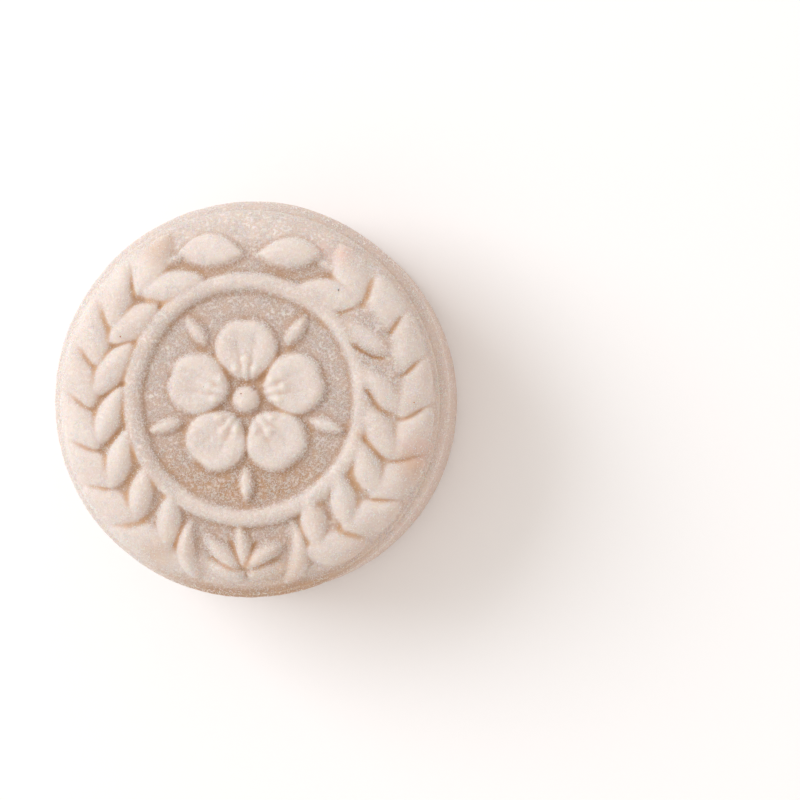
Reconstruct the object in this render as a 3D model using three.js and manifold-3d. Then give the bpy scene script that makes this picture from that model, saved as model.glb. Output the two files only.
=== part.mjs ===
// A moulded mooncake: a pale round cake with straight sides, a domed face pressed by a stamp, and a shallow
// parting groove where the stamp met the mould's ring. The face carries a wreath of two wheat ears, a ring
// inside it and a five-petalled blossom in the middle. It lies on its flat base, +Z up, in millimetres, with
// the origin at the middle of the base. The whole cake is one solid.

import * as THREE from "three";
import { mergeVertices } from "three/addons/utils/BufferGeometryUtils.js";
import Module from "manifold-3d";

const wasm = await Module();
wasm.setup();

// Driving dimensions of the cake.
const MOULD_RADIUS = 25; // inside of the mould's ring, so the widest part of the wall
const BASE_FLAT_RADIUS = 21.5; // the flat that the cake stands on
const FOOT_HEIGHT = 2.4; // where the rounded foot becomes the wall
const FOOT_SPREAD = 0.15; // how far the foot settles outside the ring's radius
const WALL_WAIST = 0.25; // how far the wall draws in half way up
const EDGE_TURN = 45; // degrees the wall's upper edge has already turned down from level at the groove
const EDGE_DROP = 2.2; // how far that edge then rounds down into the wall
const GROOVE_WIDTH = 0.3;
const GROOVE_DEPTH = 0.12; // from the dome's rim in
const DOME_INSET = 0.9; // how far the dome's rim stands inside the wall
const DOME_FOOT = 20.7; // where the dome's full curve would end, below the groove
const DOME_HEIGHT = 6.9; // from there to the floor of the pressed pattern
const DOME_POWER = 3; // superellipse exponent: flat on top, tightly rounded at the shoulder
const DOME_CUT = 0.987; // the groove cuts the dome off at this share of its full radius
const DOME_OFFSET = new THREE.Vector3(-0.2, -0.5, 0); // the dome sits a little off the wall's axis

// Driving dimensions of the pattern. It is pressed a little off the dome's axis.
const RELIEF = 1.3; // how far the pattern stands above its floor
const SINK = 0.9; // how deep each raised piece reaches into the cake, so that the pieces fuse
const STAMP_OFFSET = new THREE.Vector2(0.45, 0.2);
const RIM_LIMIT = 0.99; // the pattern ends at this share of the dome's radius
const RIM_FADE = [0.945, 1]; // and fades out between these shares
const RING_RADIUS = 14.3;
const RING_WIDTH = 2.3;
const RING_RISE = 1.05;
const RING_STRETCH = 1.02; // the ring is this much longer than wide

// A kernel's plan: how pointed its ends are, where 0.5 would be an ellipse, and how much fuller its base half
// is than its tip half. Awns, stems and leaves are blunter.
const KERNEL_RISE = 1.4;
const KERNEL_POINTEDNESS = 0.65;
const KERNEL_TAPER = 0.15;
const STALK_POINTEDNESS = 0.42;

// The wreath's two ears of wheat, `side` -1 on the left and 1 on the right. An ear's kernels stand in two
// rows, counted from the wreath's open top. Kernel i has its middle at start + step * i - easing * i * i
// degrees from there, and the inner row's first SAG_KERNELS have slipped down by up to `innerSag` more. Its
// radius grows by `drift` a kernel, and `heading` says which way its tip points on the left ear. On the ear
// the row stands in by `inset`, and its kernels are `stretch` times as long and `swell` times as wide as the
// row says. Under the ear the floor is a raised bed, whose height is given at angles from the wreath's top,
// and outside the ear it rises by `shoulder`.
const SAG_KERNELS = 4;
const EARS = [
  {
    side: -1,
    outerStart: 35.6,
    outerEasing: 0.07,
    innerStart: 33.5,
    innerEasing: 0.68,
    innerSag: 0,
    inset: 0,
    stretch: 1,
    swell: 1.06,
    bed: [[38, 0], [58, 0.15], [146, 0.15], [160, 0]],
    shoulder: 0.95,
  },
  {
    side: 1,
    outerStart: 39.5,
    outerEasing: 0,
    innerStart: 38.1,
    innerEasing: 0.68,
    innerSag: 4,
    inset: 0.5,
    stretch: 0.94,
    swell: 1.15,
    bed: [[40, 0], [56, 1], [84, 1], [98, 0.45], [146, 0.35], [160, 0]],
    shoulder: 0.55,
  },
];
const OUTER_ROW = {
  count: 8,
  step: 15.7,
  radius: 20.5,
  drift: 0.14,
  length: 8.4,
  shortening: 0,
  width: 4,
  narrowing: 0,
  heading: (i, angle) => angle + 29 - 1.4 * i, // out from the run of the ear, a little less each time
};
const INNER_ROW = {
  count: 7,
  step: 23,
  radius: 16.85,
  drift: 0.15,
  length: 8.4,
  shortening: 0.2,
  width: 3.8,
  narrowing: 0.14,
  heading: (i) => 90 - 75 * 0.69 ** i, // the lower a kernel stands, the nearer it is to upright
};

// Pieces of their own: middle, heading in degrees, length, width, sideways bow and share of a kernel's rise.
const TOP_KERNELS = [
  { x: -4.5, y: 18, heading: 0, length: 8.3, width: 4.2, bow: 0.5, share: 0.95, pointedness: 0.85 },
  { x: 5.1, y: 17.9, heading: 180, length: 8.3, width: 4.2, bow: -0.15, share: 0.95, pointedness: 0.85 },
];
const AWNS = [
  { x: -10.2, y: 16.9, heading: 24, length: 5.4, width: 1.4, share: 0.6 },
  { x: 10.7, y: 16, heading: 148, length: 4.6, width: 1.4, share: 0.6 },
];
const STEMS = [
  { x: -6.7, y: -18.4, heading: 92, length: 7.4, width: 2.5, bow: 1, share: 0.9 },
  { x: 5.2, y: -18.8, heading: 84, length: 7.8, width: 2.5, bow: -1.3, share: 0.9 },
];
const LEAVES = [
  { x: -3.2, y: -18.8, heading: 134, length: 6, width: 2.5, share: 0.85 },
  { x: -0.7, y: -18.2, heading: 97, length: 5.2, width: 2.3, bow: -0.2, share: 0.8 },
  { x: 1.9, y: -19.2, heading: 31, length: 5.6, width: 2.6, bow: 0.1, share: 0.8 },
  { x: -2.7, y: -21.1, heading: 158, length: 4.4, width: 2.2, share: 0.6 },
  { x: 2.3, y: -21.1, heading: 7, length: 4.8, width: 2.1, share: 0.45 },
];

// The bed reaches its height over BED_REACH, and falls to a share of it over BED_STEP, both measured from
// the pattern's middle. The shoulder rises over SHOULDER_REACH, and both fall away over SHOULDER_FALL,
// measured from the dome's axis. The shoulder's angles say where it begins, is full, falls and ends.
const BED_REACH = [13.8, 15.4];
const BED_STEP = [18.5, 21];
const BED_OUTER_SHARE = 0.4;
const SHOULDER_REACH = [18.6, 21.4];
const SHOULDER_FALL = [21.9, 24.1];
const SHOULDER_ANGLES = [22, 40, 150, 166];

// The blossom.
const PETALS = 5;
const PETAL_RADIUS = 3.95;
const PETAL_CENTRE = 6.3;
const PETAL_FULLNESS = 2; // how flat a petal would be on top without its hollow
const PETAL_DISH = 0.7; // how far each petal's middle is hollowed
const DISH_REACH = 0.82; // how much of the petal's radius the hollow takes up
const PETAL_WAIST = 0.22; // how far the petal draws in towards the flower's middle
const PETAL_NOTCH = { depth: 0.1, angle: 0.3 };
const SEPAL = { length: 4.4, width: 2, radius: 10.5, share: 0.72 };
const EYE_RADIUS = 1.7;
const EYE_RISE = 1.15 * RELIEF;

// How finely each surface is cut into flat faces.
const WALL_SIDES = 60;
const WALL_RINGS = 4;
const FOOT_RINGS = 4;
const EDGE_RINGS = 3;
const DOME_RINGS = 8;
const RING_SIDES = 48;
const RING_SECTION = 8;
const PAD_SIDES = 10;
const PAD_RINGS = 6;
const PETAL_CUTS = { sides: 16, rings: 8 };
const EYE_CUTS = { sides: 12 };
const BED_CUTS = { inner: 14.4, shares: [0, 0.12, 0.25, 0.5, 0.68, 0.82, 0.92, 1], sides: 16 };
const SMOOTHING = 0.004; // edges shorter than this are merged after the pieces are fused

const turn = THREE.MathUtils.degToRad;
const { lerp, smoothstep } = THREE.MathUtils;
const domeRadius = MOULD_RADIUS - DOME_INSET;
const fullRadius = domeRadius / DOME_CUT;
const rimHeight = DOME_FOOT + DOME_HEIGHT * (1 - DOME_CUT ** DOME_POWER) ** (1 / DOME_POWER);
const seamHeight = rimHeight - GROOVE_WIDTH;

// The outline of the whole cake, from the middle of the base to the middle of the face. Each point is its
// radius, its height and how far it follows the dome's offset.
function outline() {
  const foot = new THREE.QuadraticBezierCurve(
    new THREE.Vector2(BASE_FLAT_RADIUS, 0),
    new THREE.Vector2(MOULD_RADIUS + FOOT_SPREAD, 0),
    new THREE.Vector2(MOULD_RADIUS + FOOT_SPREAD, FOOT_HEIGHT),
  ).getPoints(FOOT_RINGS);
  const points = [[0, 0, 0], ...foot.map(({ x, y }) => [x, y, 0])];
  for (let i = 1; i <= WALL_RINGS; i++) {
    const share = i / WALL_RINGS;
    const waist = WALL_WAIST * Math.sin(Math.PI * share);
    const height = lerp(FOOT_HEIGHT, seamHeight - EDGE_DROP, share);
    points.push([MOULD_RADIUS + FOOT_SPREAD * (1 - share) - waist, height, 0]);
  }
  const begin = turn(EDGE_TURN);
  for (let i = 1; i <= EDGE_RINGS; i++) {
    const angle = lerp(Math.PI / 2, begin, i / EDGE_RINGS);
    const inset = (DOME_INSET * (1 - Math.sin(angle))) / (1 - Math.sin(begin));
    const drop = EDGE_DROP * (1 - Math.cos(angle) / Math.cos(begin));
    points.push([MOULD_RADIUS - inset, seamHeight - drop, i / EDGE_RINGS]);
  }
  for (const share of [0.7, 0.3]) {
    points.push([domeRadius - GROOVE_DEPTH, rimHeight - share * GROOVE_WIDTH, 1]);
  }
  const cut = Math.acos(DOME_CUT ** (DOME_POWER / 2));
  for (let i = 0; i <= DOME_RINGS; i++) {
    const angle = lerp(cut, Math.PI / 2, i / DOME_RINGS);
    const radius = i < DOME_RINGS ? fullRadius * Math.cos(angle) ** (2 / DOME_POWER) : 0;
    points.push([radius, DOME_FOOT + DOME_HEIGHT * Math.sin(angle) ** (2 / DOME_POWER), 1]);
  }
  return points;
}

// The cake without its pattern: the outline turned about the wall's axis, each ring moved by its share of
// the dome's offset.
function body() {
  const points = outline();
  const geometry = new THREE.LatheGeometry(
    points.map(([radius, height]) => new THREE.Vector2(radius, height)),
    WALL_SIDES,
  ).rotateX(Math.PI / 2);
  const position = geometry.getAttribute("position");
  for (let i = 0; i < position.count; i++) {
    const share = points[i % points.length][2];
    position.setX(i, position.getX(i) + share * DOME_OFFSET.x);
    position.setY(i, position.getY(i) + share * DOME_OFFSET.y);
  }
  return geometry;
}

// The point that stands `rise` off the dome, along its normal, above the pattern's plan position (x, y). It
// is measured from the dome's own axis.
function onDome(x, y, rise) {
  const px = x + STAMP_OFFSET.x;
  const py = y + STAMP_OFFSET.y;
  const radius = Math.hypot(px, py);
  const across = Math.min(radius, RIM_LIMIT * domeRadius) / fullRadius;
  const up = (1 - across ** DOME_POWER) ** (1 / DOME_POWER);
  const outward = across ** (DOME_POWER - 1) / fullRadius;
  const upward = up ** (DOME_POWER - 1) / DOME_HEIGHT;
  const normal = new THREE.Vector2(outward, upward).normalize();
  const off = rise > 0 ? rise * (1 - smoothstep(across / DOME_CUT, ...RIM_FADE)) : rise;
  const scale = radius > 0 ? (across * fullRadius + off * normal.x) / radius : 0;
  return new THREE.Vector3(px * scale, py * scale, DOME_FOOT + DOME_HEIGHT * up + off * normal.y);
}

// Moves every vertex (x, y, rise) of a flat-laid geometry onto the dome.
function drape(geometry) {
  const position = geometry.getAttribute("position");
  for (let i = 0; i < position.count; i++) {
    const point = onDome(position.getX(i), position.getY(i), position.getZ(i));
    position.setXYZ(i, point.x, point.y, point.z);
  }
  return geometry;
}

// A raised pad, laid flat: a sphere whose rings follow a plan outline, domed above and sunk below.
// `outline` gives the plan point at an angle, and `hollow` is how far the middle dips.
function pad(
  outline,
  { height = RELIEF, fullness = 1, hollow = 0, sides = PAD_SIDES, rings = PAD_RINGS } = {},
) {
  const geometry = new THREE.SphereGeometry(1, sides, rings).rotateX(Math.PI / 2);
  const position = geometry.getAttribute("position");
  for (let i = 0; i < position.count; i++) {
    const x = position.getX(i);
    const y = position.getY(i);
    const z = position.getZ(i);
    const share = Math.min(Math.hypot(x, y), 1);
    const edge = outline(Math.atan2(y, x));
    const dip = hollow * Math.max(0, 1 - (share / DISH_REACH) ** 2) ** 1.5;
    const rise = z > 0 ? height * Math.sqrt(1 - share ** (2 * fullness)) - dip : SINK * z;
    position.setXYZ(i, edge.x * share, edge.y * share, rise);
  }
  return geometry;
}

// A kernel's outline: pointed at both ends, fullest just behind the middle, bowed sideways by `bow`.
function kernelOutline(length, width, bow, pointedness) {
  return (angle) => {
    const along = Math.cos(angle);
    const full = (1 - along * along) ** pointedness * (1 - KERNEL_TAPER * along);
    const side = Math.sign(Math.sin(angle));
    return new THREE.Vector2(
      (length / 2) * along,
      (width / 2) * side * full + bow * (1 - along * along),
    );
  };
}

// A kernel whose middle is at (x, y) and whose tip points along `heading`, in degrees from +X.
function kernel(x, y, heading, { length, width, bow = 0, share = 1, pointedness = KERNEL_POINTEDNESS }) {
  return pad(kernelOutline(length, width, bow, pointedness), { height: share * KERNEL_RISE })
    .rotateZ(turn(heading))
    .translate(x, y, 0);
}

// A kernel of one ear, by the polar coordinates of its middle. The heading is that of the left ear, which
// the right one mirrors.
function earKernel(side, angle, radius, heading, size) {
  const x = side * radius * Math.sin(turn(angle));
  const y = radius * Math.cos(turn(angle));
  return kernel(x, y, side < 0 ? heading : 180 - heading, size);
}

// A row of kernels along one ear, from the top of the wreath down.
function kernelRow({ side, inset, stretch, swell }, { start, easing, sag }, row) {
  return Array.from({ length: row.count }, (_, i) => {
    const slipped = sag * Math.sin((Math.PI * Math.min(i, SAG_KERNELS)) / SAG_KERNELS);
    const angle = start + row.step * i - easing * i * i + slipped;
    const length = (row.length - row.shortening * i) * stretch;
    const width = (row.width - row.narrowing * i) * swell;
    const radius = row.radius + row.drift * i - inset;
    return earKernel(side, angle, radius, row.heading(i, angle), { length, width });
  });
}

// One ear of the wreath: its two rows of kernels.
function wheatEar(ear) {
  const outer = { start: ear.outerStart, easing: ear.outerEasing, sag: 0 };
  const inner = { start: ear.innerStart, easing: ear.innerEasing, sag: ear.innerSag };
  return [...kernelRow(ear, outer, OUTER_ROW), ...kernelRow(ear, inner, INNER_ROW)];
}

// The kernels that close the wreath at its top with their awns, and the stems and leaves at its foot.
function wreathEnds() {
  const stalks = [...AWNS, ...STEMS, ...LEAVES].map((piece) => ({ ...piece, pointedness: STALK_POINTEDNESS }));
  return [...TOP_KERNELS, ...stalks].map((piece) => kernel(piece.x, piece.y, piece.heading, piece));
}

// 1 between the middle two of four angles, 0 outside the outer two, smooth between them.
function betweenAngles(angle, [begin, full, falling, end]) {
  return smoothstep(angle, begin, full) * (1 - smoothstep(angle, falling, end));
}

// A height that passes smoothly through stops, each an angle and the height there.
function through(stops, angle) {
  let height = stops[0][1];
  for (let i = 1; i < stops.length; i++) {
    height += (stops[i][1] - stops[i - 1][1]) * smoothstep(angle, stops[i - 1][0], stops[i][0]);
  }
  return height;
}

// How far the bed and the shoulder stand above the floor, at an angle from the wreath's top, a radius from
// the pattern's middle and a radius from the dome's axis.
function bedRise(ear, angle, radius, fromDome) {
  const step = lerp(1, BED_OUTER_SHARE, smoothstep(radius, ...BED_STEP));
  const bed = through(ear.bed, angle) * smoothstep(radius, ...BED_REACH) * step;
  const across = smoothstep(fromDome, ...SHOULDER_REACH);
  const shoulder = ear.shoulder * betweenAngles(angle, SHOULDER_ANGLES) * across;
  return (bed + shoulder) * (1 - smoothstep(fromDome, ...SHOULDER_FALL));
}

// The bed and the shoulder beside one ear: a box bent into a sector of a ring that ends at the dome's rim.
// It sinks a little below the floor where its rise is 0, so that it meets the floor cleanly.
function bed(ear) {
  const { inner, shares, sides } = BED_CUTS;
  const geometry = new THREE.BoxGeometry(1, 1, 1, sides, shares.length - 1, 1);
  const position = geometry.getAttribute("position");
  const angles = [...ear.bed.map(([angle]) => angle), ...SHOULDER_ANGLES];
  const first = Math.min(...angles);
  const last = Math.max(...angles);
  for (let i = 0; i < position.count; i++) {
    const angle = (first + last) / 2 + ear.side * position.getX(i) * (last - first);
    const ray = new THREE.Vector2(ear.side * Math.sin(turn(angle)), Math.cos(turn(angle)));
    const back = ray.dot(STAMP_OFFSET);
    const limit = RIM_LIMIT * domeRadius;
    const outer = Math.sqrt(back * back + limit * limit - STAMP_OFFSET.lengthSq()) - back;
    const radius = lerp(inner, outer, shares[Math.round((position.getY(i) + 0.5) * (shares.length - 1))]);
    const place = ray.multiplyScalar(radius);
    const fromDome = place.clone().add(STAMP_OFFSET).length();
    const rise = position.getZ(i) > 0 ? bedRise(ear, angle, radius, fromDome) - 0.03 : -SINK;
    position.setXYZ(i, place.x, place.y, rise);
  }
  return geometry;
}

// The raised ring round the blossom, half of it sunk in the cake.
function ring() {
  const geometry = new THREE.TorusGeometry(RING_RADIUS, RING_WIDTH / 2, RING_SECTION, RING_SIDES);
  return geometry.scale(1, RING_STRETCH, RING_RISE / (RING_WIDTH / 2));
}

// A petal's outline: round, drawn in towards the flower's middle and notched at its outer edge.
function petalOutline(angle) {
  const narrowing = 1 - PETAL_WAIST * Math.max(0, -Math.cos(angle)) ** 2;
  const notch = 1 - PETAL_NOTCH.depth * Math.exp(-((angle / PETAL_NOTCH.angle) ** 2));
  return new THREE.Vector2(
    PETAL_RADIUS * Math.cos(angle) * notch,
    PETAL_RADIUS * Math.sin(angle) * narrowing,
  );
}

// The blossom: hollowed petals, a sepal's tip between each two, and a round eye.
function blossom() {
  const pieces = [];
  for (let i = 0; i < PETALS; i++) {
    const heading = 90 + (360 / PETALS) * i;
    const petal = pad(petalOutline, { fullness: PETAL_FULLNESS, hollow: PETAL_DISH, ...PETAL_CUTS });
    pieces.push(petal.translate(PETAL_CENTRE, 0, 0).rotateZ(turn(heading)));
    const sepal = kernel(SEPAL.radius, 0, 0, SEPAL);
    pieces.push(sepal.rotateZ(turn(heading + 180 / PETALS)));
  }
  const eye = (angle) => new THREE.Vector2(EYE_RADIUS * Math.cos(angle), EYE_RADIUS * Math.sin(angle));
  pieces.push(pad(eye, { height: EYE_RISE, ...EYE_CUTS }));
  return pieces;
}

// A closed three.js geometry as a manifold-3d solid.
function solidOf(geometry) {
  const bare = geometry.clone();
  bare.deleteAttribute("normal");
  bare.deleteAttribute("uv");
  const merged = mergeVertices(bare, 1e-4);
  const mesh = new wasm.Mesh({
    numProp: 3,
    vertProperties: new Float32Array(merged.getAttribute("position").array),
    triVerts: new Uint32Array(merged.index.array),
  });
  return new wasm.Manifold(mesh);
}

// A manifold-3d solid as a three.js geometry.
function geometryOf(solid) {
  const mesh = solid.getMesh();
  const geometry = new THREE.BufferGeometry();
  geometry.setAttribute("position", new THREE.BufferAttribute(mesh.vertProperties, 3));
  geometry.setIndex(new THREE.BufferAttribute(mesh.triVerts, 1));
  geometry.computeVertexNormals();
  return geometry;
}

function mooncake() {
  const relief = [...EARS.map(bed), ...EARS.flatMap(wheatEar), ...wreathEnds(), ring(), ...blossom()];
  const face = relief.map((piece) => drape(piece).translate(...DOME_OFFSET));
  const cake = wasm.Manifold.union([body(), ...face].map(solidOf)).simplify(SMOOTHING);
  const skin = new THREE.MeshStandardMaterial({ color: 0xe9dccd, roughness: 0.75, metalness: 0 });
  const mesh = new THREE.Mesh(geometryOf(cake), skin);
  mesh.name = "mooncake";
  return mesh;
}

const part = new THREE.Group();
part.name = "mooncake_part";
part.add(mooncake());

export default part;
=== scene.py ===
"""A moulded mooncake lying on its flat back, with its pressed face up.

Every shape is worked out in millimetres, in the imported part's own frame, and becomes metres when its mesh is
made. +Z points out of the face and +Y towards the open top of the wreath.
"""

import math

import bpy
import numpy as np
from mathutils import Matrix, Vector


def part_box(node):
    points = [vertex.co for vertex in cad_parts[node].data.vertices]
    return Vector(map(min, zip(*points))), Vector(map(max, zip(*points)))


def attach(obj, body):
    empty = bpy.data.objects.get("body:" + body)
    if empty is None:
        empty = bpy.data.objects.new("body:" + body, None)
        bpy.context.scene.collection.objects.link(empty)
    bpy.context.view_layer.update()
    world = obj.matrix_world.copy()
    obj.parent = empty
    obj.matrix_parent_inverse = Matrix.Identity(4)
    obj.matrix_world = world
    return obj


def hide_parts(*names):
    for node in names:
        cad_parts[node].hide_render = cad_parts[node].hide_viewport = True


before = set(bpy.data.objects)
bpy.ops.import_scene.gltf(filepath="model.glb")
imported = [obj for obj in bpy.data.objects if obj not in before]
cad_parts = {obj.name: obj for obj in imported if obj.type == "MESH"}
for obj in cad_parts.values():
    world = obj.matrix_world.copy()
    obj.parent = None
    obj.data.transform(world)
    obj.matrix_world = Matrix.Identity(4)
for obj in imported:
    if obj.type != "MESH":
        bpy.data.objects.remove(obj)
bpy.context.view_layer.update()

MM = 0.001
NODE = "mooncake"

# ---------------------------------------------------------------- sizes, in millimetres
#
# A pair called limits, or one that a smoothstep takes, says where a thing begins and where it is full.

low, high = (np.array(corner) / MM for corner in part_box(NODE))

RELIEF = 1.3  # how far the pattern stands above its floor
EYE_RISE = 1.15 * RELIEF

# The cake's outline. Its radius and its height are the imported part's.
FOOT_SPREAD = 0.15
MOULD_RADIUS = (high[0] - low[0]) / 2 - FOOT_SPREAD
FOOT_RADIUS = MOULD_RADIUS + FOOT_SPREAD
BASE_FLAT_RADIUS = 0.86 * MOULD_RADIUS
FOOT_HEIGHT = 2.4
WALL_WAIST = 0.25
EDGE_TURN = 45  # degrees the wall's upper edge has already turned down from level at the groove
EDGE_DROP = 2.2  # how far that edge then rounds down into the wall
GROOVE_WIDTH = 0.3
GROOVE_DEPTH = 0.12
DOME_INSET = 0.9  # how far the dome's rim stands inside the wall
DOME_OFFSET = np.array((-0.2, -0.5, 0))  # the dome sits a little off the wall's axis
DOME_RADIUS = MOULD_RADIUS - DOME_INSET
DOME_HEIGHT = 6.9
DOME_POWER = 3.0
DOME_CUT = 0.987  # the groove cuts the dome off at this share of its full radius
DOME_TOP = high[2] - EYE_RISE
DOME_FOOT = DOME_TOP - DOME_HEIGHT
RIM_HEIGHT = DOME_FOOT + DOME_HEIGHT * (1 - DOME_CUT**DOME_POWER) ** (1 / DOME_POWER)
SEAM_HEIGHT = RIM_HEIGHT - GROOVE_WIDTH

# The stamp's pattern, about its own middle. The offset is from the dome's axis.
STAMP_OFFSET = (0.45, 0.2)
PATTERN_FADE = (1.0, 0.955)  # shares of the dome's radius where the pattern ends and begins to fade
WREATH_FILLET = 0.55  # how high the corners between raised pieces and the floor are rounded
RING_FILLET = 0.3
BLOSSOM_FILLET = 0.15
SKIRT = 1.5  # how fast a raised piece drops below the floor outside its own outline

RING_RADIUS = 14.3
RING_WIDTH = 2.3
RING_RISE = 1.05
RING_STRETCH = 1.02  # the ring is this much longer than wide
# How much the ring's radius, its width and its height waver: how far, the cell of the noise and its seed.
RING_WAVER = (0.1, 5.0, 21)
RING_SWELL = (0.1, 4.0, 22)
RING_HEAVE = (0.1, 3.0, 23)
RING_FROST = (0.18, 0.55)  # how much flour the ring carries, and how much on its left
FROST_LEFT = (-6, -12)  # x
FROST_HEIGHT = (0.2, 0.6)  # of the ring

# Kernels. A shape is how pointed the plan is, where 0.5 would be an ellipse, and how flat the crest is, as
# exponents.
KERNEL_SHAPE = (0.65, 0.65)
TOP_SHAPE = (0.85, 0.65)
STALK_SHAPE = (0.42, 0.95)
KERNEL_TAPER = 0.15
KERNEL_RISE = 1.45
# How far one kernel differs from the next: by degrees, by shares of its length and width, and in height,
# where the first number is the mean.
STRAY_TURN = 1.5
STRAY_LENGTH = 0.03
STRAY_WIDTH = 0.05
STRAY_HEIGHT = (0.95, 0.06)
STRAY_SEED = 7
KERNEL_WAVER = (0.05, 2.2, 24)  # how far the kernels' tops waver, the cell of the noise and its seed

# The cut along which two kernels of a row meet.
CREASE_DEPTH = 0.29
CREASE_WIDTH = 0.6
CREASE_REACH = (-2.2, -0.3)  # height of the lower kernel
CREASE_COVER = (-0.2, 0.9)  # how far the two stand above another row's kernels there
CREASE_ON_BED = 1.8  # how much deeper it is on a full bed
CREASE_END = (20.4, 23.4)  # distances from the pattern's middle between which it fades
CREASE_FADE = 0.7  # how much of it fades
# The cut beside a kernel sunk in the bed, which takes over from it as the bed rises.
SUNK_BED = (0.2, 0.7)  # height of the bed over which it takes over
SUNK_SHARE = 0.75  # it runs where the kernel is this share of the bed's height
SUNK_WIDTH = 0.17  # as a difference in height
SUNK_SIDE = (0, 0.4)  # distance from the kernel's axis
SUNK_TIP = (0.8, 0.1)  # way along the kernel, from -1 at its base to 1 at its tip
SUNK_BASE = (-1.1, -0.7)
SUNK_RISE = (0.1, 0.7)  # height of the bed

# The two ears of wheat: side, height of the bed under the ear at angles from the top of the wreath, height
# of the cake's shoulder outside it, and how much the rows stand in, and their kernels are shorter and
# wider, than the rows below say. For the outer and the inner row in turn come the angle of the first
# kernel, the easing, and how far at most the first SAG_KERNELS have slipped down. Kernel i stands at
# start + step * i - easing * i^2 + sag * sin(pi * min(i, SAG_KERNELS) / SAG_KERNELS).
SAG_KERNELS = 4
EARS = (
    dict(
        side=-1, bed=((38, 0), (58, 0.15), (146, 0.15), (160, 0)), shoulder=0.95,
        starts=(35.6, 33.5), easings=(0.07, 0.68), sags=(0.0, 0.0), inset=0.0, stretch=1.0, swell=1.06,
    ),
    dict(
        side=1, bed=((40, 0), (56, 1.0), (84, 1.0), (98, 0.45), (146, 0.35), (160, 0)), shoulder=0.55,
        starts=(39.5, 38.1), easings=(0.0, 0.68), sags=(0.0, 4.0), inset=0.5, stretch=0.94, swell=1.15,
    ),
)
OUTER_ROW = dict(
    count=8, step=15.7, radius=20.5, drift=0.14, length=8.4, shortening=0.0, width=3.9, narrowing=0.0,
    heading=lambda i, angle: angle + 29 - 1.4 * i,
)
INNER_ROW = dict(
    count=7, step=23.0, radius=16.85, drift=0.15, length=8.4, shortening=0.2, width=3.8,
    narrowing=0.14, heading=lambda i, angle: 90 - 75 * 0.69**i,
)
# Pieces of their own: x, y, heading in degrees, length, width, sideways bow, share of a kernel's height, and
# shape.
TOP_KERNELS = (
    (-4.5, 18.0, 0, 8.3, 4.2, 0.5, 0.95, TOP_SHAPE),
    (5.1, 17.9, 180, 8.3, 4.2, -0.15, 0.95, TOP_SHAPE),
)
AWNS = (
    (-10.2, 16.9, 24, 5.4, 1.3, 0.0, 0.5, STALK_SHAPE),
    (10.7, 16.0, 148, 4.6, 1.3, 0.0, 0.5, STALK_SHAPE),
)
STEMS = (
    (-6.7, -18.4, 92, 7.4, 2.5, 1.0, 0.9, STALK_SHAPE),
    (5.2, -18.8, 84, 7.8, 2.5, -1.3, 0.9, STALK_SHAPE),
)
LEAVES = (
    (-3.2, -18.8, 134, 6.0, 2.5, 0.0, 0.85, STALK_SHAPE),
    (-0.7, -18.2, 97, 5.2, 2.3, -0.2, 0.8, STALK_SHAPE),
    (1.9, -19.2, 31, 5.6, 2.6, 0.1, 0.8, STALK_SHAPE),
    (-2.7, -21.1, 158, 4.4, 2.2, 0.0, 0.6, STALK_SHAPE),
    (2.3, -21.1, 7, 4.8, 2.1, 0.0, 0.45, STALK_SHAPE),
)

# Under the ears the floor is a raised bed, which rises again into the cake's shoulder outside them. The
# angles are where the shoulder begins and is full, and where it falls and ends, from the top of the wreath.
BED_REACH = (13.8, 15.4)
BED_STEP = (21.0, 18.5)  # where the bed has fallen to its outer height and where it begins to
BED_OUTER_SHARE = 0.4
SHOULDER_REACH = (18.6, 21.4)
SHOULDER_FALL = (24.1, 21.9)
SHOULDER_ANGLES = (22, 40, 150, 166)
BARE_BED = (0.3, 0.8)  # height of a bed that shows as bare
BARE_ABOVE = (0.3, -0.1)  # height of the kernels over it

# The blossom.
PETALS = 5
PETAL_RADIUS = 3.95
PETAL_CENTRE = 6.3  # distance of a petal's middle from the flower's
PETAL_DISH = 0.5  # how far each petal's middle is hollowed
DISH_REACH = 0.82  # how much of the petal's radius the hollow takes up
PETAL_WAIST = 0.22  # how far the petal draws in towards the flower's middle
PETAL_NOTCH = (0.1, 0.3)  # depth, and half width as an angle in radians
SEPAL = dict(length=4.4, width=2.0, radius=10.5, share=0.72)
EYE_RADIUS = 1.7
STAMENS = ((3.9, -20), (4.9, 0), (3.9, 20))  # reach and heading from the petal's own, in degrees
STAMEN_RISE = 0.35
STAMEN_WIDTH = 0.42
STAMEN_END = 0.5  # length over which it fades towards its tip
ANTHER_RADIUS = 0.5
ANTHER_RISE = 1.4  # times the stamen's
VEIN_TURNS = (-26, -9, 9, 26)
VEIN_DEPTH = 0.1
VEIN_WIDTH = 0.22
VEIN_END = (9.3, 7.0)  # distance from the flower's middle

# The skin's unevenness: how far each noise goes, its cell and its seed.
FACE_ROUGHNESS = ((0.10, 7.0, 1), (0.05, 1.8, 2), (0.025, 0.8, 8), (0.03, 0.4, 3))
WALL_ROUGHNESS = ((0.05, 5.0, 4), (0.035, 1.6, 5))
EDGE_ROUGHNESS = (0.03, 0.4, 6)
ROUGH_FADE = (1.0, 0.97)  # shares of the dome's radius between which the face's ends
WALL_INSET = 0.08  # keeps the uneven wall inside its true radius

# Stains: x, y and reach.
BLUSHES = ((9.6, 18.6, 1.0), (12.0, 18.0, 1.2), (21.2, -6.4, 2.2))
TANS = ((4.2, -21.6, 3.4), (-10.8, -18.7, 2.0), (-10.8, 18.6, 1.9), (20.2, -7.6, 1.7))

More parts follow.
